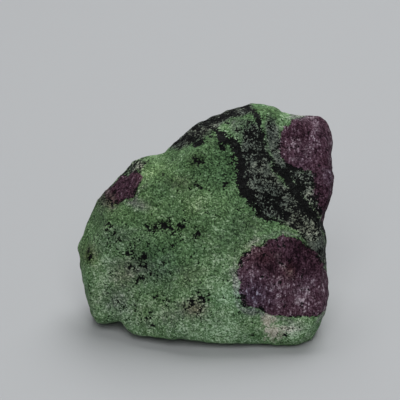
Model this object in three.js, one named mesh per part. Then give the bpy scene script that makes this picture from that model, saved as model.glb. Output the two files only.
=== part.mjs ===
// A rough lump of ruby in zoisite: one stone, grown as one rock and broken off on all sides.
// Millimetres, +Z up. The stone stands on a flat break at z = 0, with its broad face towards -Y.
//
// The surface is a radius for every direction out of one inner point, the heart. The radius is a
// rounded minimum over broken flats, less some grooves, plus some waves, cut off level at the base.
// A broad outline, the girdle, runs round the stone in a plane that leans back, and each stretch
// of it carries two flats: one that closes in towards the front and one towards the back.
import * as THREE from "three";
import { mergeVertices } from "three/addons/utils/BufferGeometryUtils.js";

const CELLS = 26; // cells along each side of the six-sided grid that is blown up into the stone
const EDGE_SHARPNESS = 48; // a higher power leaves less rounding where two flats meet
const LEAN = 24; // degrees by which the girdle's plane leans back from upright

const HEART = new THREE.Vector3(0, 1.1, 21);

// Each corner of the girdle: place across, up the leaning plane and behind it, from the heart,
// then the bevels, in degrees, of the front and back flats on the stretch to the next corner.
const GIRDLE = [
  [16.5, 34.4, 0, 20, 30],
  [8.5, 34.2, 0, 25, 35],
  [-1.5, 30, 0, 32, 30],
  [-18.4, 21.6, 0, 28, 30],
  [-25.2, 11.6, 0, 25, 35],
  [-31.4, 0.6, 0, 18, 25],
  [-32.6, -3.6, 0, 15, 30],
  [-30, -19.4, 3, 12, 25],
  [-28.8, -23.4, 5, 22, 15],
  [-15, -26.2, -9, 14, 15],
  [7.5, -28.9, -8, 15, 15],
  [26, -25.8, -6, 30, 20],
  [30.2, -22.2, -3, 13, 17],
  [32.6, 27.6, 0, 28, 30],
  [29.4, 31.6, 0, 25, 35],
];

// The broad flats of the front and back: outward normal across, up and behind, then distance.
const BROAD_FLATS = [
  [-0.16, 0.04, -1, 16.5],
  [0.12, 0.2, -1, 17],
  [0.14, -0.1, -1, 18],
  [-0.4, -0.22, -1, 18.5],
  [0, -0.7, -1, 24],
  [0.1, 0.2, 1, 18],
  [0, 0.5, 0.9, 19],
  [-0.6, 0.3, 1, 21],
  [0.6, 0, 1, 22],
  [-0.2, -0.4, 1, 20],
];

// Grooves worn through the girdle from front to back: place across and up, from how far behind
// the girdle's plane to how far behind it, then reach and depth.
const GROOVES = [
  [-12.2, 24.4, -8, 8, 6.6, 4],
  [33, 4.2, -8, 12, 3.8, 2.7],
  [33, -8, -8, 8, 6, 0.5],
  [33.4, 19, -8, 8, 5, 1],
  [22.5, 33, -5, 8, 6, 2.6],
  [-22.6, -23.4, -4, 4, 3, 2.8],
  [-4, -27.6, -12, 0, 6, 2],
  [-13, -28, 2, 12, 8.5, 6.4],
  [8, -31, 1, 12, 9, 2.8],
];

// Slow waves over the whole surface: crests across, up and behind in radians a millimetre, then
// the wave's start in radians and its height.
const WAVES = [
  [0.21, 0.12, 0.08, 0.4, 0.35],
  [-0.1, 0.27, 0.15, 2.1, 0.3],
  [0.3, -0.22, 0.2, 4, 0.25],
  [0.15, 0.4, -0.3, 1.2, 0.2],
  [-0.45, 0.2, 0.1, 5.3, 0.15],
];

const across = new THREE.Vector3(1, 0, 0);
const lean = THREE.MathUtils.degToRad(LEAN);
const up = new THREE.Vector3(0, Math.sin(lean), Math.cos(lean));
const behind = new THREE.Vector3(0, Math.cos(lean), -Math.sin(lean));

// A place or direction given across, up and behind, in the part's own axes.
function leaning(x, s, d) {
  return new THREE.Vector3().addScaledVector(across, x).addScaledVector(up, s).addScaledVector(behind, d);
}

// The two flats on one stretch of the girdle: both hold the stretch, and each is tilted by its bevel.
function girdleFlats([x, s, d, front, back], next) {
  const corner = leaning(x, s, d);
  const along = leaning(...next.slice(0, 3)).sub(corner).normalize();
  const outward = new THREE.Vector3().crossVectors(behind, along).normalize();
  const rearward = new THREE.Vector3().crossVectors(along, outward);
  return [-front, back].map((bevel) => {
    const tilt = THREE.MathUtils.degToRad(bevel);
    const normal = outward.clone().multiplyScalar(Math.cos(tilt)).addScaledVector(rearward, Math.sin(tilt));
    return { normal, distance: normal.dot(corner) };
  });
}

function broadFlat([x, s, d, distance]) {
  return { normal: leaning(x, s, d).normalize(), distance };
}

const flats = [
  ...GIRDLE.flatMap((corner, i) => girdleFlats(corner, GIRDLE[(i + 1) % GIRDLE.length])),
  ...BROAD_FLATS.map(broadFlat),
];
const waves = WAVES.map(([x, s, d, start, height]) => ({ crests: leaning(x, s, d), start, height }));

// The rounded minimum: one over the power mean of how strongly each flat holds this direction back.
function flatRadius(direction) {
  let hold = 0;
  for (const { normal, distance } of flats) {
    hold += Math.max(direction.dot(normal) / distance, 0) ** EDGE_SHARPNESS;
  }
  return hold ** (-1 / EDGE_SHARPNESS);
}

function stoneRadius(direction) {
  const broken = flatRadius(direction);
  const place = direction.clone().multiplyScalar(broken);
  let radius = broken;
  for (const [x, s, from, to, reach, depth] of GROOVES) {
    const nearest = leaning(x, s, THREE.MathUtils.clamp(place.dot(behind), from, to));
    radius -= depth * Math.exp(-place.distanceToSquared(nearest) / reach ** 2);
  }
  for (const { crests, start, height } of waves) {
    radius += height * Math.sin(place.dot(crests) + start);
  }
  return direction.z < 0 ? Math.min(radius, -HEART.z / direction.z) : radius;
}

// Splits each four-cornered cell along the diagonal that stands further out from the heart, so
// that a sharp edge runs on unbroken where it crosses the grid.
function turnDiagonals(geometry) {
  const places = geometry.getAttribute("position");
  const corners = geometry.getIndex();
  const reach = (i, j) => {
    const middle = new THREE.Vector3().fromBufferAttribute(places, i);
    return middle.add(new THREE.Vector3().fromBufferAttribute(places, j)).divideScalar(2).distanceTo(HEART);
  };
  for (let i = 0; i < corners.count; i += 6) {
    const [a, b, d, , c] = corners.array.slice(i, i + 6);
    if (reach(a, c) > reach(b, d)) {
      corners.array.set([a, b, c, a, c, d], i);
    }
  }
}

function stoneGeometry() {
  const grid = new THREE.BoxGeometry(2, 2, 2, CELLS, CELLS, CELLS);
  grid.deleteAttribute("normal");
  grid.deleteAttribute("uv");
  const geometry = mergeVertices(grid, 1e-5);
  const places = geometry.getAttribute("position");
  const direction = new THREE.Vector3();
  for (let i = 0; i < places.count; i++) {
    // The tangent keeps the cells of one size, from the middle of a side to its edges.
    direction.fromBufferAttribute(places, i);
    direction.set(...direction.toArray().map((v) => Math.tan((v * Math.PI) / 4))).normalize();
    const place = direction.clone().multiplyScalar(stoneRadius(direction)).add(HEART);
    places.setXYZ(i, place.x, place.y, Math.max(place.z, 0));
  }
  turnDiagonals(geometry);
  geometry.computeVertexNormals();
  return geometry;
}

const stone = new THREE.Mesh(
  stoneGeometry(),
  new THREE.MeshStandardMaterial({ color: 0x52684a, roughness: 0.7, metalness: 0 }),
);
stone.name = "ruby_in_zoisite";

const group = new THREE.Group();
group.add(stone);

export default group;
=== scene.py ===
"""A rough lump of ruby in zoisite: the fine surface and the finish of its one stone.

Lengths are millimetres until they go into a mesh. Places in the rock are given from the stone's
heart along three axes of its own: across (to the right), up (along the leaning plane of the girdle)
and behind (square to that plane).
"""
from math import cos, pi, radians, sin

import bpy
import numpy as np
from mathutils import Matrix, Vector


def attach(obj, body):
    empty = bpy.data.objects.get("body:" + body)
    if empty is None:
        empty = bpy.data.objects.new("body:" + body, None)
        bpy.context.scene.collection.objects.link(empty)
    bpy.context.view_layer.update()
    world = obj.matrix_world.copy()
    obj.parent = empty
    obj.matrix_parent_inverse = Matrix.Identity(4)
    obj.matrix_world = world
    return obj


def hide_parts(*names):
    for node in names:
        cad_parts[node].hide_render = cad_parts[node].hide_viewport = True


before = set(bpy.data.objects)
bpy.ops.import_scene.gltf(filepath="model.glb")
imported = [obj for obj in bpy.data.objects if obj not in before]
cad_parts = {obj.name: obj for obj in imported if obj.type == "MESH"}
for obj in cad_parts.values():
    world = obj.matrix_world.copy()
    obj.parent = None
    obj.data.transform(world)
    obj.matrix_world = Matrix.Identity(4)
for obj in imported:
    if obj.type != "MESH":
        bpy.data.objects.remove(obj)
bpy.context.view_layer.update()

MM = 0.001
NODE = "ruby_in_zoisite"

# ---------------------------------------------------------------- the broken shape, as in the CAD

CELLS = 128  # cells along each side of the six-sided grid
EDGE_SHARPNESS = 48  # a higher power leaves less rounding where two flats meet
LEAN = radians(24)  # how far the girdle's plane leans back from upright
HEART = np.array([0, 1.1, 21.0])
AXES = np.array([[1, 0, 0], [0, sin(LEAN), cos(LEAN)], [0, cos(LEAN), -sin(LEAN)]])
BEHIND = AXES[2]

# Each corner of the girdle: across, up, behind, then the front and back bevels in degrees.
GIRDLE = [
    (16.5, 34.4, 0, 20, 30), (8.5, 34.2, 0, 25, 35), (-1.5, 30, 0, 32, 30), (-18.4, 21.6, 0, 28, 30),
    (-25.2, 11.6, 0, 25, 35), (-31.4, 0.6, 0, 18, 25), (-32.6, -3.6, 0, 15, 30),
    (-30, -19.4, 3, 12, 25), (-28.8, -23.4, 5, 22, 15), (-15, -26.2, -9, 14, 15),
    (7.5, -28.9, -8, 15, 15), (26, -25.8, -6, 30, 20), (30.2, -22.2, -3, 13, 17),
    (32.6, 27.6, 0, 28, 30), (29.4, 31.6, 0, 25, 35),
]
# The broad flats: outward normal across, up, behind, then distance.
BROAD_FLATS = [
    (-0.16, 0.04, -1, 16.5), (0.12, 0.2, -1, 17), (0.14, -0.1, -1, 18), (-0.4, -0.22, -1, 18.5),
    (0, -0.7, -1, 24), (0.1, 0.2, 1, 18), (0, 0.5, 0.9, 19), (-0.6, 0.3, 1, 21), (0.6, 0, 1, 22),
    (-0.2, -0.4, 1, 20),
]
# Grooves: across and up, from and to behind, then reach and depth.
GROOVES = [
    (-12.2, 24.4, -8, 8, 6.6, 4), (33, 4.2, -8, 12, 3.8, 2.7), (33, -8, -8, 8, 6, 0.5),
    (33.4, 19, -8, 8, 5, 1), (22.5, 33, -5, 8, 6, 2.6), (-22.6, -23.4, -4, 4, 3, 2.8),
    (-4, -27.6, -12, 0, 6, 2), (-13, -28, 2, 12, 8.5, 6.4), (8, -31, 1, 12, 9, 2.8),
]
# Slow waves: crests across, up, behind in radians a millimetre, then start and height.
WAVES = [
    (0.21, 0.12, 0.08, 0.4, 0.35), (-0.1, 0.27, 0.15, 2.1, 0.3), (0.3, -0.22, 0.2, 4, 0.25),
    (0.15, 0.4, -0.3, 1.2, 0.2), (-0.45, 0.2, 0.1, 5.3, 0.15),
]

# ---------------------------------------------------------------- what grew where in the rock

# Ruby crystals: centre across, up, behind, then half-widths across, up, behind.
RUBIES = [
    # low on the front
    (18, -8.9, -11, 11.2, 9.6, 14), (24, -12.6, -8, 8, 6.6, 12), (12.4, -12.6, -12, 4.8, 4.8, 12),
    # high on the front and the right flank
    (26.2, 22.2, -6, 8.8, 7.6, 12), (27.4, 26.4, -6, 5.6, 4.6, 10), (28.6, 25.4, 2, 6, 6.4, 10),
    (30.4, 12.8, -4, 6, 9.6, 12),
    # on the left shoulder
    (-20.2, 11.6, -5, 4.8, 3.6, 9), (-16.8, 13.8, -7, 2.4, 2.6, 8),
    # on the back
    (-8, 2, 18, 9, 8, 7), (17, 13, 16, 6.5, 7.5, 6), (-25, -12, 9, 5, 7, 5), (14, -20, 10, 6, 4, 6),
]
# Hornblende strands: how solid, then across, up, half-width at each bend.
STRANDS = [
    # along the top edge
    (0.04, [(-7, 23.6, 1), (-3.6, 26, 1.4), (0.4, 28.8, 1.4), (4, 30.6, 1.1), (10.4, 32.4, 1.6)]),
    (0.3, [(-3.8, 24.2, 0.9), (-3, 24, 1)]),
    (0.36, [(-1.6, 26, 1.3), (-0.8, 26.6, 1.2)]),
    # down the band's left edge
    (0.36, [(1.2, 27, 0.9), (3.8, 25.6, 1.5), (6.6, 23.8, 1.7), (8.4, 20.2, 1.5), (8.8, 16, 1.5),
            (9, 12.6, 1.8)]),
    (0.4, [(9, 12.6, 1.8), (10.6, 9.4, 1.7), (12.8, 7, 1.4), (16, 5, 1), (19.6, 3.4, 0.8),
           (22, 2.6, 0.6)]),
    # down its right edge
    (0.24, [(10.4, 32.4, 1.6), (12.8, 29.6, 1.5), (13.8, 25, 1.4), (14.2, 20.6, 1.2),
            (16.6, 17.4, 1.6)]),
    (0.34, [(16.6, 17.4, 1.6), (19.6, 14.8, 2.2), (21.4, 12.4, 2)]),
    (0.3, [(21.4, 12.4, 1.8), (22.4, 10, 1.8), (23.8, 8, 2.6), (25.8, 6, 2.3), (27.8, 4, 1.8),
           (29.6, 1.4, 1.4)]),
    (0.3, [(29.6, 2, 1.6), (30.6, -2, 1.2), (30.4, -4.6, 0.6)]),
    # inside the band
    (0.24, [(19, 12, 0.7), (22, 8.6, 1.2), (25.4, 5.2, 1.2), (28, 2, 0.8)]),
    (0.16, [(13.2, 13.4, 0.9), (15.4, 10.6, 1.2), (18.6, 8, 1.2), (21.4, 5.4, 1)]),
    (0.2, [(22.4, 4, 0.8), (25, 1.4, 0.7), (27.4, -1.4, 0.6)]),
]
# Bands of bleached rock: how densely hornblende is sown, then across, up, half-width at each bend.
BAND = [
    (0.48, [(7.4, 27.4, 1.6), (10.6, 26, 2.4)]),
    (0.66, [(11.2, 25, 2.4), (11.6, 20, 3.6)]),
    (0.62, [(11.6, 20, 3.6), (12.4, 14.6, 3.2), (15, 10.4, 3.8), (20, 8, 4), (25, 4.4, 3),
            (26, 0, 2.8), (28.6, -3, 1.8), (29.6, -6.4, 1)]),
    (0.42, [(16.6, 30, 1.6), (16.8, 24, 1.8), (18.4, 18.4, 1.6), (22.6, 14.8, 1.4)]),
    (0.68, [(-7.6, 23.4, 1.2), (-3, 26, 2.2), (2, 29, 2), (6, 31, 1.6), (10, 32, 2)]),
    (0.62, [(24.6, 13.4, 2.6), (28.4, 9.4, 2.4), (30.4, 4, 1.4)]),
]
# Green rock sown with hornblende: how densely, then across, up, half-width at each bend.
SCATTERED = [
    # round the ruby on the left shoulder
    (0.6, [(-18.8, 16.2, 1.4), (-16.2, 18.8, 1.8)]),
    (0.6, [(-23, 13, 0.9), (-20, 16.4, 0.9)]),
    (0.42, [(-26, 10.4, 1.8), (-23, 8.4, 1.4)]),
    # across the middle of the front
    (0.4, [(-18.6, -3, 1.4), (-15.4, -6.6, 2), (-16, -9.8, 1.6)]),
    (0.3, [(-9, -3.4, 2.4), (-9.6, -6.6, 2.4)]),
    (0.38, [(-13.4, 2.6, 1.2), (-9, 3, 1.4), (-5.4, 2.2, 1.4), (-2, 0.6, 1.2)]),
    (0.34, [(-24, 3.6, 1), (-21.6, 0.8, 1.2)]),
    # along the foot
    (0.42, [(-5, -16.4, 1.2), (-1, -14.4, 1), (-1.6, -17.8, 1.2)]),
    (0.34, [(-14.4, -19.6, 1), (-11.6, -21.4, 1)]),
    (0.3, [(-24, -14, 1.4), (-20, -17, 1.4)]),
    (0.36, [(9, -14.6, 0.5), (8.8, -17.4, 0.7), (11, -19.4, 0.6)]),
    # thinly over the left of the front, down to the foot
    (0.12, [(-20, -1, 6), (-17, -14, 7), (-6, -20, 4)]),
]
# Larger black grains: across, up, radius.
SPECKS = [
    # across the middle of the front
    (-12.2, 2.9, 0.5), (-10.4, 3.6, 0.8), (-9.8, 3, 0.6), (-5.7, 3, 0.9), (-6.4, 3.4, 0.6),
    (-4.4, 4.2, 0.4), (-2, 1, 0.8), (-2.8, 0.4, 0.5), (-13.4, -1.4, 0.4), (-14.6, -4.2, 0.5),
    (-18.4, -6.8, 0.5), (-14.4, -6.8, 0.5), (-15.3, -9.5, 0.3), (-16.5, -10.4, 0.3),
    (-17.2, -5, 0.3), (-13, -8.4, 0.2),
    # towards the left edge
    (-21.7, 1.3, 0.4), (-20.6, 0.2, 0.3), (-23.6, 3.4, 0.2), (-28.4, -3.2, 0.6), (-28.2, -4.6, 0.5),
    # along the foot
    (-23.2, -14.8, 0.4), (-17, -16.2, 0.3), (-16.3, -15, 0.2), (-11.9, -14.2, 0.2),
    (-14.1, -19.4, 0.4), (-12.8, -21, 0.4), (0.4, -13.2, 0.3), (-0.8, -14.4, 0.3),
    (0.9, -14.5, 0.2), (-2.9, -15.3, 0.2), (-4.4, -16.8, 0.4), (-0.6, -19.3, 0.3),
    (19.3, -23.2, 0.4), (9.2, -15.8, 0.4), (11.6, -23.4, 0.2),
    # in the green above the middle
    (-2.6, 18.9, 0.5), (-1.2, 18.4, 0.4), (-10.4, 15.7, 0.2), (-2.4, 13.2, 0.2), (-1.6, 12.7, 0.2),
    (-0.8, 12.2, 0.3), (4.7, 13, 0.7), (6.6, 19.6, 0.2), (6.4, 18, 0.2),
    # under the top edge
    (10.6, 27.6, 0.4), (7.6, 26, 0.4), (3, 28.6, 0.3), (5.4, 28.4, 0.3), (-4.1, 23.8, 0.5),
    (-2.4, 23, 0.6), (-1.2, 23.3, 1), (1.3, 25.3, 0.8), (3.2, 23.2, 0.4), (4.5, 22.4, 0.6),
]
# Tinted places: centre across, up, then half-widths, how much lighter, warmer and greyer.
TINTS = [
    # the green rock
    (-12, 17, 5, 3.6, 0.06, 0.3, 0), (-2, 9.2, 5, 3.4, 0.08, 0.3, 0),
    (-5.8, 13.4, 3.4, 2.4, -0.1, 0.4, 0.3), (-2.2, 18.4, 2.4, 2, -0.2, 0.4, 0.2),
    (4.4, 17.4, 4, 5, -0.26, -0.3, -0.2), (10.6, 3.6, 4, 3, -0.1, 0.3, 0.2),
    (4, -22.4, 8, 4.6, 0.3, -0.1, 0.1), (4.6, -7.6, 5, 9, 0.24, -0.1, 0.15),
    (-9.6, -4.6, 5, 4.4, -0.25, -0.3, 0), (-14, -20, 9, 5, 0.2, 0, 0.1),
    (-24, -8, 6, 9, 0.2, 0, 0.1), (20, -23, 9, 3, 0.2, 0, 0.1),
    (-13.4, 6.2, 5.4, 3.4, 0.04, 0.1, 0), (-19.4, -9.4, 4, 4.6, -0.1, 0.3, 0.3),
    (-3.6, -9.6, 4.4, 3.2, -0.1, 0.3, 0.2), (-9.6, -18.2, 5.6, 4, 0, 0.1, 0.3),
    (-2.4, -16.4, 2.8, 2.6, 0.1, 0.8, 0.9), (-28.2, -4, 2.4, 2.6, -0.2, 0.9, 0.3),
    (-20, 2, 5, 4, 0.05, 0, 0.45), (-22, -16, 5, 4, 0, 0, 0.4),
    (-14, -7, 6, 4, 0, 0, 0.4), (21, -21.6, 3.6, 1.4, 0.3, 0, 0.6),
    # on and round the left shoulder's ruby
    (-16, 12, 3, 3, 0, 0.1, -0.3), (-19, 4.6, 3, 2, 0.05, 0.2, -0.4),
    (-14.4, 16.6, 2.4, 2.4, 0, 0.1, -1), (-24.6, 9.4, 3, 2.4, -0.3, 0.6, 0.8),
    (-15.6, 8, 2.4, 1.4, 0.2, 0, 0.9), (-19.4, 11.2, 3, 2.4, -0.2, 0, -0.3),
    (-22.8, 9.2, 1.4, 1.6, -0.2, 0.8, 0.5), (-17, 18, 2.4, 1.6, 0.1, 0, 1),
    # the top edge and the band
    (17, 30.6, 4, 2.6, 0.16, 0.1, -1.3), (25.4, 1.2, 3.2, 3.4, 0.4, 0.15, 0),
    (3, 27.4, 2.4, 0.8, 0.3, 0, 0.3), (-2, 26.4, 5, 2, 0.12, 0.2, 0),
    (25.4, 10.4, 1.4, 1.4, 0.25, 0.2, 0), (5.6, 27.6, 2.2, 1.6, 0.25, 0, 0),
    (8.8, 27.2, 3, 2.2, 0.12, 0, -0.75), (22.4, 30, 4, 1.4, 0.25, 0, 0.9),
    (24, 2.6, 3, 1.4, 0.2, 0.2, 0.4), (23.4, 6.2, 1.2, 1.2, 0.4, 0, 0.4),
    (13, 17.2, 2, 2.6, 0.26, 0, 0), (6, 31.6, 4, 1, 0, 0.2, 0),
    # the high ruby and the right flank
    (28.2, 25, 0.5, 3.6, -0.45, 0, 0), (26.2, 25.6, 0.5, 3.2, 0.3, 0, 0),
    (23.6, 24, 0.6, 3, -0.3, 0, 0), (20.6, 21.6, 2.4, 4.4, 0.08, 0, 0.12),
    (24.4, 20.4, 3, 3, 0.12, 0, 0.2), (27, 27.6, 0.9, 2.6, 0.2, 0, 0.3),
    (23, 27, 2.4, 1.6, -0.16, 0, 0), (29.4, 24.4, 0.9, 3, -0.3, 0, 0),
    (31.4, 23, 1.4, 7, 0.2, 0, 0.3), (29.6, 15.4, 2.4, 2.8, 0, -0.4, 0.2),
    (28.6, 12.6, 3.4, 6, 0.1, 0, 0), (25, 23, 6, 6, 0.07, 0, 0),
    # on and round the low ruby
    (22.4, -3.6, 4, 4, -0.7, 0, -0.6), (14.6, -4.2, 3, 2, -0.2, 0.3, 0),
    (11.6, -3, 2.6, 3, 0.12, 0.15, 0.1), (11.4, -13, 4, 3.6, 0.04, -0.8, 0.1),
    (10.4, -3.6, 2, 3, 0.05, 0.2, 0), (19.6, -5.6, 2, 4, 0.16, 0, 0.2),
    (17, -10.6, 4, 5, 0.2, 0.1, 0.2), (23.6, -3.4, 3, 3, 0.1, 0, 0),
    (23.6, -13.6, 5.4, 4.4, 0.2, 0, 0.15), (19.8, -7.6, 1.6, 2, -0.4, 0.8, 0.2),
    (15.4, -7, 1.6, 1.4, -0.8, 0, 0), (12.6, -5.6, 1, 1.4, -0.7, 0, 0),
    (17.4, -5, 0.8, 2.4, -0.5, 0, 0), (17, -4, 1.6, 2, 0.1, 0.1, 0.3),
    (7.2, -10, 0.7, 3.6, 0.2, 0, 0.7),
]
# Rock clearer of hornblende: centre across, up, then half-widths and by how much.
CLEARINGS = [
    (5.8, 27.6, 2.4, 1.3, 0.7), (17, 30.8, 3.2, 1.8, 0.7), (1.4, 24.4, 1.2, 0.8, 0.7),
    (25.4, 1.4, 3, 3, 0.24), (13, 17, 1.6, 2.4, 0.14), (-10, -5, 5, 4, 0.08),
]
# Cream feldspar: centre across, up, behind, then half-widths.
CREAM = [
    (15.4, -19.4, -12, 1.4, 2.4, 6), (16.4, -22.4, -12, 2.6, 2, 6), (19.8, -21.6, -12, 2.2, 0.8, 6),
    (-10, -6, 18, 3, 2, 5),
]
BACK_STEP = 8  # marks on the front fade out over one such step behind the girdle's plane
BACK_DRIFT = np.array([2.4, -2, 0])  # how far the bands move on over each step behind

# Each mineral's paints from its darkest to its brightest grains: place on the ramp, then 0 to 255.
# The brightest stop of the zoisite, ruby and hornblende ramps is partly bright grains and partly painted
# glints.
ZOISITE = [
    (0.05, (23, 34, 23)), (0.3, (57, 80, 51)), (0.5, (85, 116, 76)), (0.7, (114, 148, 104)),
    (0.95, (182, 210, 172)),
]
BLEACHED_ZOISITE = [
    (0.05, (29, 34, 32)), (0.3, (66, 73, 67)), (0.5, (96, 104, 95)), (0.7, (128, 136, 123)),
    (0.95, (194, 200, 186)),
]
FELDSPAR = [(0.05, (110, 108, 92)), (0.5, (161, 158, 141)), (0.95, (221, 217, 203))]
HORNBLENDE = [(0.2, (9, 10, 10)), (0.6, (18, 19, 19)), (0.95, (56, 61, 56))]
WINE_RUBY = [
    (0.1, (25, 11, 19)), (0.34, (52, 31, 42)), (0.55, (77, 52, 64)), (0.78, (106, 81, 95)),
    (1.0, (181, 163, 174)),
]
HAZY_RUBY = [(0.1, (45, 36, 43)), (0.5, (102, 90, 98)), (1.0, (210, 203, 208))]
# What the rock's colour is multiplied by, from cold through plain to warm.
WARMTH = [
    (0.1, (0.76, 0.98, 1.1, 1)), (0.5, (1, 1, 1, 1)), (0.72, (1.1, 1.0, 0.8, 1)),
    (1.0, (1.5, 0.95, 0.86, 1)),
]

# ---------------------------------------------------------------- the stone's surface


def unit(v):
    return v / np.linalg.norm(v, axis=-1, keepdims=True)


def girdle_flats():
    """Normals and distances of the two flats on every stretch of the girdle, both holding the stretch."""
    corner = np.array([c[:3] for c in GIRDLE], float) @ AXES
    bevel = np.radians([[-c[3], c[4]] for c in GIRDLE])
    along = unit(np.roll(corner, -1, axis=0) - corner)
    outward = unit(np.cross(BEHIND, along))
    rearward = np.cross(along, outward)
    normal = np.cos(bevel)[..., None] * outward[:, None] + np.sin(bevel)[..., None] * rearward[:, None]
    return normal.reshape(-1, 3), (normal * corner[:, None]).sum(-1).ravel()


def flats():
    normal, distance = girdle_flats()
    broad = np.array(BROAD_FLATS)
    return np.vstack([normal, unit(broad[:, :3] @ AXES)]), np.append(distance, broad[:, 3])


def six_sided_grid(cells):
    """Directions and four-cornered faces of a cube's six sides blown up into a ball.

    Each side is a grid of two parameters from -1 to 1; the tangent of an eighth of a turn times the
    parameter keeps the cells of one size. Points on the cube's edges are welded, so it is closed.
    """
    s, t = np.meshgrid(np.arange(cells + 1), np.arange(cells + 1), indexing="ij")
    lattice, faces = [], []
    for side in range(6):
        axis, far = side % 3, side >= 3
        point = np.full(s.shape + (3,), cells if far else 0)
        point[..., (axis + 1) % 3] = s
        point[..., (axis + 2) % 3] = t
        number = np.arange(s.size).reshape(s.shape) + side * s.size
        ring = [number[:-1, :-1], number[1:, :-1], number[1:, 1:], number[:-1, 1:]]
        faces.append(np.stack(ring if far else ring[::-1], -1).reshape(-1, 4))
        lattice.append(point.reshape(-1, 3))
    points, same = np.unique(np.concatenate(lattice), axis=0, return_inverse=True)
    direction = unit(np.tan((points / cells * 2 - 1) * pi / 4))
    return direction, same.reshape(-1)[np.concatenate(faces)]


def broken_radius(direction):
    """One over the power mean of how strongly each flat holds a direction back, less the grooves,
    plus the waves. A groove is a bell over the gap to the nearest point of its line."""
    normal, distance = flats()
    hold = np.maximum(direction @ normal.T / distance, 0)
    strongest = hold.max(axis=1, keepdims=True)
    radius = 1 / (strongest[:, 0] * ((hold / strongest) ** EDGE_SHARPNESS).sum(1) ** (1 / EDGE_SHARPNESS))
    place = direction * radius[:, None] @ AXES.T
    for x, s, start, end, reach, depth in GROOVES:
        nearest = np.stack([np.full(len(place), x), np.full(len(place), s), place[:, 2].clip(start, end)], -1)
        radius = radius - depth * np.exp(-((place - nearest) ** 2).sum(1) / reach**2)
    for *crests, start, height in WAVES:
        radius = radius + height * np.sin(place @ crests + start)
    return radius


class Lumps:
    """Noises on a cubic lattice whose corners each have a slope and a spot of their own.

    Adding a number to the place reads a noise elsewhere, so that one noise serves several times.
    """

    GAIN = 1.6  # brings the gradient noise to about -1 to 1
    LAYER_SHIFT = 17.3  # keeps the layers' lattices from lining up

    def __init__(self, seed):
        draw = np.random.default_rng(seed)
        self.order = np.tile(draw.permutation(256), 2)
        self.slopes = unit(draw.normal(size=(256, 3)))
        self.spots = draw.uniform(size=(256, 3))

    def number(self, corner):
        x, y, z = (corner & 255).T
        return self.order[self.order[self.order[x] + y] + z]

    def at(self, place, size):
        """Gradient noise: each corner's slope, faded out smoothly towards the corners next to it."""
        cell = place / size
        low = np.floor(cell).astype(int)
        rest = cell - low
        fade = rest**3 * (rest * (rest * 6 - 15) + 10)
        total = np.zeros(len(place))
        for corner in np.ndindex(2, 2, 2):
            slope = self.slopes[self.number(low + corner)]
            weight = np.where(corner, fade, 1 - fade).prod(1)
            total += weight * ((rest - corner) * slope).sum(1)
        return total * self.GAIN

    def layers(self, place, size, count, keep=0.5):
        """Noise on noise: each layer half the size of the last and keep times as high."""
        return sum(keep**i * self.at(place + self.LAYER_SHIFT * i, size / 2**i) for i in range(count))

    def scoops(self, place, size, tilt=0.5):
        """Bowls round the cells' spots with sharp ridges between: the least squared gap to a spot,
        plus a tilt along the spot's slope. Runs from about 0 in a bowl to 1 on a ridge."""
        cell = place / size
        low = np.floor(cell).astype(int)
        least = np.full(len(place), 9.0)
        for corner in np.ndindex(3, 3, 3):
            step = np.array(corner) - 1
            number = self.number(low + step)
            gap = cell - low - step - self.spots[number]
            least = np.minimum(least, (gap**2).sum(1) + tilt * (gap * self.slopes[number]).sum(1))
        return least


def bell(value, middle, width):
    """One at the middle, falling off as a bell to both sides."""
    return np.exp(-(((value - middle) / width) ** 2))


def blob(place, centre, widths):
    """How far inside an ellipsoid a place is, in millimetres; below zero outside."""
    share = np.linalg.norm((place - np.array(centre)) / np.array(widths), axis=1)
    return (1 - share) * np.mean(widths[:2])


def ribbon(place, bends):
    """How far inside a bent band of changing width a place is, seen along behind."""
    inside = np.full(len(place), -99.0)
    for (x0, s0, w0), (x1, s1, w1) in zip(bends, bends[1:]):
        run = np.array([x1 - x0, s1 - s0])
        away = place[:, :2] - (x0, s0)
        share = (away @ run / (run @ run)).clip(0, 1)
        gap = np.linalg.norm(away - share[:, None] * run, axis=1)
        inside = np.maximum(inside, w0 + (w1 - w0) * share - gap)
    return inside


def bump(place, x, s, wide, high):
    """A soft bump: one at its middle, falling off as a bell, and standing on the front side only."""
    away = ((place[:, 0] - x) / wide) ** 2 + ((place[:, 1] - s) / high) ** 2
    return np.exp(-away) * np.clip(1 - place[:, 2] / BACK_STEP, 0, 1)


def ruby_depth(place, bent, fine):
    """How far inside the nearest ruby a place is: a bent ellipsoid with a ragged edge."""
    inside = np.max([blob(bent, ruby[:3], ruby[3:]) for ruby in RUBIES], axis=0)
    return inside + 0.7 * fine.layers(place, 3.2, 3)


def black_specks(place, clump):
    """The share of black that the larger grains give, and how much they shade the rock round them.

    Both fall off with the gap to the grain's edge, the black in a straight line and the shade
    exponentially.
    """
    edge_share, edge_width, shade_width = 0.6, 1.4, 0.9
    black = np.zeros(len(place))
    shade = np.zeros(len(place))
    front = place[:, 2] < 0
    for x, s, radius in SPECKS:
        gap = np.hypot(place[:, 0] - x, place[:, 1] - s) - radius
        black = np.maximum(black, front * (edge_share - gap / edge_width + clump))
        shade = np.maximum(shade, front * np.exp(-np.clip(gap, 0, None) / shade_width))
    return black, shade


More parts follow.
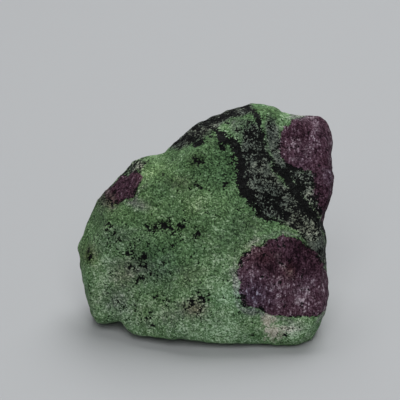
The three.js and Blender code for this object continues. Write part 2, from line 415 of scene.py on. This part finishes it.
def hornblende_share(place, banded, ruby, black, clump, coarse, fine):
    """The share of black grains.

    First what stray grains, sown rock or strands give, whichever is most, less the clearings and the
    insides of rubies. Then the larger grains, the rubies' rims and the flecks in them where they
    give more.
    """
    share = 0.04 + 0.5 * np.clip(coarse.at(place + 60, 9) - 0.3, 0, 1)
    for density, bends in BAND + SCATTERED:
        share = np.maximum(share, density * np.clip(0.75 + ribbon(banded, bends) / 2, 0, 1) + clump)
    for solid, bends in STRANDS:
        share = np.maximum(share, solid + ribbon(banded, bends) / 2 + clump)
    for *spot, clearer in CLEARINGS:
        share = share - clearer * bump(place, *spot)
    share = share - 0.5 * np.clip(ruby - 0.3, 0, 1)
    rim = bell(ruby, 0.2, 0.6) * (0.5 + 0.5 * coarse.at(place + 90, 3))
    flecks = np.clip(ruby, 0, 1) * (0.1 + 0.5 * fine.layers(place + 130, 2.2, 2))
    return np.clip(np.max([share, black, rim, flecks], axis=0), 0, 1.2)


def crease_shade_and_highlight(place, coarse, fine):
    """Painted shade along creases: a dark bell over a noise's value round zero, open only in places;
    and a painted highlight beside each, a light bell round a slightly higher value."""
    noise = coarse.layers(place + 140, 5, 4, 0.6)
    open_share = np.clip(0.3 + 2 * fine.at(place + 110, 4), 0, 1)
    return 0.16 * bell(noise, 0.16, 0.06) - 0.36 * open_share * bell(noise, 0, 0.05)


def growth(place):
    """The fields of the rock, one value a point.

    ruby and cream: how far inside that mineral, in millimetres. hornblende: the share of black grains
    from 0 to 1. grey: how bleached the zoisite is. light and warm: how the rock is tinted; light also
    holds painted shade along creases, with a painted highlight beside each. A slow
    noise bends the minerals' outlines, more so behind, where the bands also drift sideways.
    """
    coarse, fine = Lumps(3), Lumps(8)
    wander = np.stack([coarse.at(place + shift, 6) for shift in (0, 40, 80)], -1)
    back = np.clip(place[:, 2:] / BACK_STEP, 0, 3)
    bent = place + wander * (0.8 + back)
    banded = bent + BACK_DRIFT * back
    ruby = ruby_depth(place, bent, fine)
    clump = 0.34 * fine.layers(place + 5, 2.6, 3, 0.8)
    black, shade = black_specks(place, clump)

    banding = np.clip(0.5 + np.max([ribbon(banded, bends) for _, bends in BAND], axis=0) / 2, 0, 1)
    halo = bell(ruby, -0.9, 0.7) * np.clip(0.5 + coarse.at(place + 30, 5), 0, 1)
    foot = np.clip(-place[:, 1] / 10, 0, 1)
    grey = 0.15 * fine.layers(place + 70, 6, 3) + np.where(ruby < 0, np.maximum(1.15 * banding, halo), 0)
    warm = 0.24 * coarse.layers(place + 50, 8, 4) - 0.05
    # light takes the rock's tint plus painted crease shade and painted highlights beside the creases
    light = 0.14 * coarse.layers(place + 20, 7, 4, 0.7) + crease_shade_and_highlight(place, coarse, fine)
    light += 0.12 * foot + 0.15 * halo - 0.3 * banding - 0.2 * shade
    for *spot, lighter, warmer, greyer in TINTS:
        near = bump(place, *spot)
        light += lighter * near
        warm += warmer * near
        grey += greyer * near
    return {
        "ruby": ruby,
        "hornblende": hornblende_share(place, banded, ruby, black, clump, coarse, fine),
        "grey": grey,
        "cream": np.max([blob(bent, cream[:3], cream[3:]) for cream in CREAM], axis=0),
        "light": light,
        "warm": warm,
    }


def relief(place, fields):
    """How far the rock stands out from its flats: uneven lumps, shallow breaks of two sizes, rubies
    a little proud, hornblende a little sunk, and fine teeth that are longer on a ruby."""
    rough = Lumps(5)
    ruby = np.clip(fields["ruby"] + 0.3, 0, 1)
    lumps = 0.4 * rough.layers(place, 6.5, 4)
    breaks = 0.6 * (rough.scoops(place, 7.5) - 0.2) + 0.34 * (rough.scoops(place + 50, 2.8) - 0.2)
    teeth = 0.15 * rough.at(place * (1, 0.6, 1) + 31, 1.2) * (0.6 + ruby)
    return lumps + breaks + 0.2 * ruby - 0.25 * np.clip(fields["hornblende"], 0, 1) + teeth


def stone_surface():
    """Places, faces and fields of the stone: in each direction of the six-sided grid, the broken
    radius plus the relief, but no further than the level break that it stands on."""
    direction, faces = six_sided_grid(CELLS)
    radius = broken_radius(direction)
    place = direction * radius[:, None] @ AXES.T
    fields = growth(place)
    radius = radius + relief(place, fields)
    below = direction[:, 2] < 0
    radius[below] = np.minimum(radius[below], -HEART[2] / direction[below, 2])
    points = direction * radius[:, None] + HEART
    points[:, 2] = np.maximum(points[:, 2], 0)
    return points, faces, fields


def new_mesh(name, points, faces, fields=None):
    """A mesh object at the origin with its place in its points, smooth all over."""
    mesh = bpy.data.meshes.new(name)
    mesh.vertices.add(len(points))
    mesh.vertices.foreach_set("co", (points * MM).astype(np.float32).ravel())
    mesh.loops.add(faces.size)
    mesh.loops.foreach_set("vertex_index", faces.astype(np.int32).ravel())
    mesh.polygons.add(len(faces))
    mesh.polygons.foreach_set("loop_start", np.arange(0, faces.size, 4, dtype=np.int32))
    mesh.update(calc_edges=True)
    mesh.polygons.foreach_set("use_smooth", np.ones(len(faces), bool))
    for field, values in (fields or {}).items():
        mesh.attributes.new(field, "FLOAT", "POINT").data.foreach_set("value", values.astype(np.float32))
    piece = bpy.data.objects.new(name, mesh)
    bpy.context.scene.collection.objects.link(piece)
    return piece


# ---------------------------------------------------------------- shader maths as expressions


class Signal:
    """One output of a shader node. Its operators add Math nodes, or Vector Math nodes on a vector."""

    def __init__(self, finish, socket):
        self.finish = finish
        self.socket = socket

    def maths(self, operation, first, second):
        vector = any(isinstance(v, Signal) and v.socket.type in ("VECTOR", "RGBA") for v in (first, second))
        if vector and not isinstance(first, (Signal, tuple)):
            first = (first,) * 3
        if vector and not isinstance(second, (Signal, tuple)):
            second = (second,) * 3
        kind = "ShaderNodeVectorMath" if vector else "ShaderNodeMath"
        return self.finish.node(kind, {"operation": operation}, {0: first, 1: second})

    def __add__(self, other):
        return self.maths("ADD", self, other)

    def __sub__(self, other):
        return self.maths("SUBTRACT", self, other)

    def __rsub__(self, other):
        return self.maths("SUBTRACT", other, self)

    def __mul__(self, other):
        return self.maths("MULTIPLY", self, other)

    __radd__ = __add__
    __rmul__ = __mul__

    def red(self):
        """The first number of a colour."""
        values = {0: self, 1: (1.0, 0.0, 0.0)}
        return self.finish.node("ShaderNodeVectorMath", {"operation": "DOT_PRODUCT"}, values, 1)

    def rise(self, low, high):
        """Goes smoothly from 0 to 1 as this value goes from low to high."""
        settings = {"interpolation_type": "SMOOTHSTEP"}
        return self.finish.node("ShaderNodeMapRange", settings, {0: self, 1: low, 2: high})


class Finish:
    """A material and its node tree."""

    def __init__(self, name):
        self.material = bpy.data.materials.new(name)
        self.material.use_nodes = True
        self.tree = self.material.node_tree
        self.shader = self.tree.nodes["Principled BSDF"]

    def node(self, kind, settings, values, output=0):
        """Adds a node: its settings first, then its sockets' values or links. Gives one output."""
        made = self.tree.nodes.new(kind)
        for name, setting in settings.items():
            if name == "stops":
                self.set_stops(made.color_ramp, setting)
            else:
                setattr(made, name, setting)
        for name, value in values.items():
            self.feed(made.inputs[name], value)
        return Signal(self, made.outputs[output])

    def feed(self, socket, value):
        if isinstance(value, Signal):
            self.tree.links.new(value.socket, socket)
        else:
            socket.default_value = value

    def set_stops(self, ramp, stops):
        for at, _ in stops[2:]:
            ramp.elements.new(at)
        for element, (at, colour) in zip(ramp.elements, stops):
            element.position = at
            element.color = colour

    def field(self, name):
        return self.node("ShaderNodeAttribute", {"attribute_name": name}, {}, "Fac")

    def mix(self, share, first, second):
        """A colour that goes from first to second as share goes from 0 to 1."""
        return self.node("ShaderNodeMix", {"data_type": "RGBA"}, {0: share, 6: first, 7: second}, 2)

    def ramp(self, value, stops):
        """A colour ramp over a value from 0 to 1."""
        return self.node("ShaderNodeValToRGB", {"stops": stops}, {0: value})

    def paint_ramp(self, value, paints):
        """A colour ramp whose stops are paints from a chart."""
        return self.ramp(value, [(at, paint(*chart)) for at, chart in paints])

    def noise(self, place, size, detail=2.0, roughness=0.5):
        """Soft noise round zero, mostly from -1 to 1, with lumps of a size in millimetres."""
        values = {"Vector": place, "Scale": 1 / size, "Detail": detail, "Roughness": roughness}
        return (self.node("ShaderNodeTexNoise", {}, values) - 0.5) * 4

    def grains(self, place, size):
        """Packed grains of a size in millimetres: a random value round zero for each."""
        values = {"Vector": place, "Scale": 1 / size}
        return self.node("ShaderNodeTexVoronoi", {}, values, "Color").red() - 0.5


def paint(red, green, blue):
    """A linear colour from the 0 to 255 values a paint chart gives."""
    chart = np.array([red, green, blue]) / 255
    linear = np.where(chart <= 0.04045, chart / 12.92, ((chart + 0.055) / 1.055) ** 2.4)
    return (*(float(v) for v in linear), 1.0)


def zoisite_colour(f, tone, grey, ragged):
    """Green zoisite, bleached where grey is high, with cream feldspar where that field is high."""
    zoisite = f.mix(grey.rise(-0.1, 1), f.paint_ramp(tone, ZOISITE), f.paint_ramp(tone, BLEACHED_ZOISITE))
    cream = (f.field("cream") + 2.6 * ragged).rise(-0.6, 1.4)
    return f.mix(cream, zoisite, f.paint_ramp(tone, FELDSPAR))


def ruby_colour(f, depth, grey):
    """Wine-red ruby, hazy where grey is high."""
    return f.mix(grey.rise(0.1, 0.9), f.paint_ramp(depth, WINE_RUBY), f.paint_ramp(depth, HAZY_RUBY))


def rock_finish():
    """Zoisite, hornblende and ruby in one finish, told apart by the stone's fields.

    tone and depth: how bright a grain of rock or of ruby is, as a sum of grains, soft noises and the
    light field. sown: the share of hornblende above which a grain is black.
    """
    f = Finish("ruby_zoisite_rock")
    place = f.node("ShaderNodeTexCoord", {}, {}, "Object") * 1000.0
    shake = f.node("ShaderNodeTexNoise", {}, {"Vector": place, "Scale": 1.8, "Detail": 2.0}, 1) - 0.5
    shaken = place + shake * 0.5
    # grit's brightest cells reach the ramps' top stops: partly bright grains, partly painted glints on single
    # grains
    grit = f.grains(shaken, 0.3)
    clots = f.grains(shaken + 7.0, 0.7)
    fine = f.noise(place, 0.45, 1.0)
    coarse = f.noise(place + 11.0, 1.3)
    wide = f.noise(place + 23.0, 3.6)
    streak = f.noise(place * (1.0, 0.4, 0.3), 0.45, 2.0, 0.6)
    light = 0.5 * f.field("light")
    grey = f.field("grey") + 0.2 * coarse
    ragged = 0.3 * fine + 0.3 * coarse

    tone = 0.5 + 0.5 * grit + 0.1 * clots + 0.12 * fine + 0.06 * coarse + 0.06 * wide + light
    depth = 0.48 + 0.28 * streak + 0.44 * grit + 0.08 * clots + 0.12 * coarse + 0.08 * wide + light
    ruby = (f.field("ruby") + ragged).rise(-0.2, 0.25)
    plain = f.mix(ruby, zoisite_colour(f, tone, grey, ragged), ruby_colour(f, depth, grey))
    tinted = plain * f.ramp(0.5 + 0.3 * f.field("warm"), WARMTH)
    sown = 0.5 + 0.18 * fine + 0.18 * coarse + 0.5 * grit
    dark = (f.field("hornblende") - sown).rise(-0.1, 0.12)
    height = 0.4 * fine + 0.6 * grit + 0.5 * coarse - 0.5 * dark
    bumps = f.node("ShaderNodeBump", {}, {"Strength": 0.9, "Distance": 0.2 * MM, "Height": height})
    f.feed(f.shader.inputs["Base Color"], f.mix(dark, tinted, f.paint_ramp(tone, HORNBLENDE)))
    f.feed(f.shader.inputs["Roughness"], 0.7 + 0.1 * fine - 0.15 * dark)
    f.feed(f.shader.inputs["Normal"], bumps)
    f.feed(f.shader.inputs["Specular IOR Level"], 0.06)
    return f.material


# ---------------------------------------------------------------- the studio


def floor_finish():
    f = Finish("pale_floor")
    f.feed(f.shader.inputs["Base Color"], paint(180, 182, 184))
    f.feed(f.shader.inputs["Roughness"], 0.9)
    f.feed(f.shader.inputs["Specular IOR Level"], 0.1)
    return f.material


def studio_floor():
    """A round pale floor that curves up into a low wall: a profile carried round the upright axis.

    The profile is level as far as the bend, then a quarter circle, then upright. Inside its first
    ring the floor is closed by four-cornered slices that meet in the middle.
    """
    first_ring, flat, bend, wall = 200.0, 1200.0, 300.0, 300.0
    turns, bend_steps = 96, 12
    gap = 0.02  # keeps the floor just clear of the stone's level base
    sweep = np.linspace(0, pi / 2, bend_steps + 1)
    out = np.concatenate([[first_ring], flat + bend * np.sin(sweep), [flat + bend]])
    height = np.concatenate([[0.0], bend * (1 - np.cos(sweep)), [bend + wall]])
    turn = np.linspace(0, 2 * pi, turns, endpoint=False)
    upright = np.outer(height, np.ones(turns))
    ring = np.stack([np.outer(out, np.cos(turn)), np.outer(out, np.sin(turn)), upright], -1)
    points = np.vstack([ring.reshape(-1, 3), [[0, 0, 0]]]) - (0, 0, gap)
    index = np.arange(len(out) * turns).reshape(len(out), turns)
    after = np.roll(index, -1, axis=1)
    faces = np.stack([index[:-1], index[1:], after[1:], after[:-1]], -1).reshape(-1, 4)
    middle = np.full(turns // 2, len(points) - 1)
    slices = np.stack([middle, index[0, ::2], after[0, ::2], np.roll(index[0, ::2], -1)], -1)
    floor = new_mesh("studio_floor", points, np.vstack([faces, slices]))
    floor.data.materials.append(floor_finish())


def soft_light(name, place, target, size, power):
    light = bpy.data.lights.new(name, "AREA")
    light.shape = "SQUARE"
    light.size = size
    light.energy = power
    lamp = bpy.data.objects.new(name, light)
    lamp.location = place
    lamp.rotation_euler = (Vector(target) - Vector(place)).to_track_quat("-Z", "Y").to_euler()
    bpy.context.scene.collection.objects.link(lamp)


def studio():
    """Floor, lights and air, in metres: one soft box behind overhead and one high in front."""
    studio_floor()
    soft_light("overhead_softbox", (0.16, 0.5, 1.14), (0, 0, 0), 1.0, 12.8)
    soft_light("front_softbox", (0, -0.85, 0.95), (0, 0, 0.02), 0.8, 7.8)
    world = bpy.data.worlds.new("studio_air")
    world.use_nodes = True
    world.node_tree.nodes["Background"].inputs["Color"].default_value = (0.95, 0.97, 1.0, 1.0)
    world.node_tree.nodes["Background"].inputs["Strength"].default_value = 0.1
    bpy.context.scene.world = world
    bpy.context.scene.view_settings.view_transform = "Standard"


def camera():
    """Looks square at the girdle's plane, from above the front."""
    aim = np.array([-1.25, 9.25, 0])  # across, up and behind, from the heart
    distance = 1000 / 3  # millimetres from there to the camera
    lens = bpy.data.cameras.new("camera")
    lens.lens = 120
    lens.sensor_width = 36
    eye = bpy.data.objects.new("camera", lens)
    eye.location = (HEART + aim @ AXES - BEHIND * distance) * MM
    eye.rotation_euler = Vector(BEHIND).to_track_quat("-Z", "Y").to_euler()
    bpy.context.scene.collection.objects.link(eye)
    bpy.context.scene.camera = eye


camera()
studio()
stone = new_mesh("ruby_in_zoisite_stone", *stone_surface())
stone.data.materials.append(rock_finish())
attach(stone, "root")
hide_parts(NODE)
